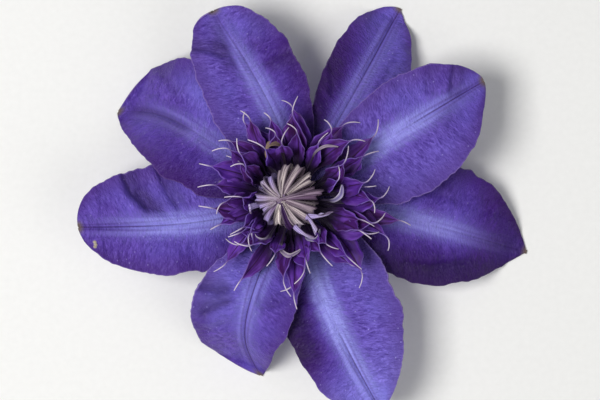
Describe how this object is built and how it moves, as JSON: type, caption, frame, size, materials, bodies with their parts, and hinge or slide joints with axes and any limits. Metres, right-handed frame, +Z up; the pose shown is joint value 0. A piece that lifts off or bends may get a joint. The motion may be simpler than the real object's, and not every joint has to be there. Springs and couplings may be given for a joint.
{
  "type": "clematis flower",
  "caption": "Double clematis bloom lying face up: broad overlapping violet tepals round a dark crown of thread-tipped staminodes and a pale tuft of stamens, with a short cut stalk.",
  "frame": {"origin": "on the surface the bloom rests on, under the middle of its bounding box", "axes": "+Z up, out of the bloom's face; +X along its widest spread; +Y towards the tepal that the camera shows at the top"},
  "size_m": [0.1224, 0.1108, 0.0333],
  "materials": {
    "tepal_violet": "soft satin petal",
    "staminode_violet": "soft satin petal",
    "stamen_cream": "dry and matt",
    "stalk_green": "waxy green stem"
  },
  "bodies": {
    "root": {"tepal_1": "tepal_violet", "tepal_2": "tepal_violet", "tepal_3": "tepal_violet", "tepal_4": "tepal_violet", "tepal_5": "tepal_violet", "tepal_6": "tepal_violet", "tepal_7": "tepal_violet", "tepal_8": "tepal_violet", "stalk_and_receptacle": "stalk_green", "staminode_crown": "staminode_violet", "stamen_tuft": "stamen_cream"}
  },
  "joints": []
}
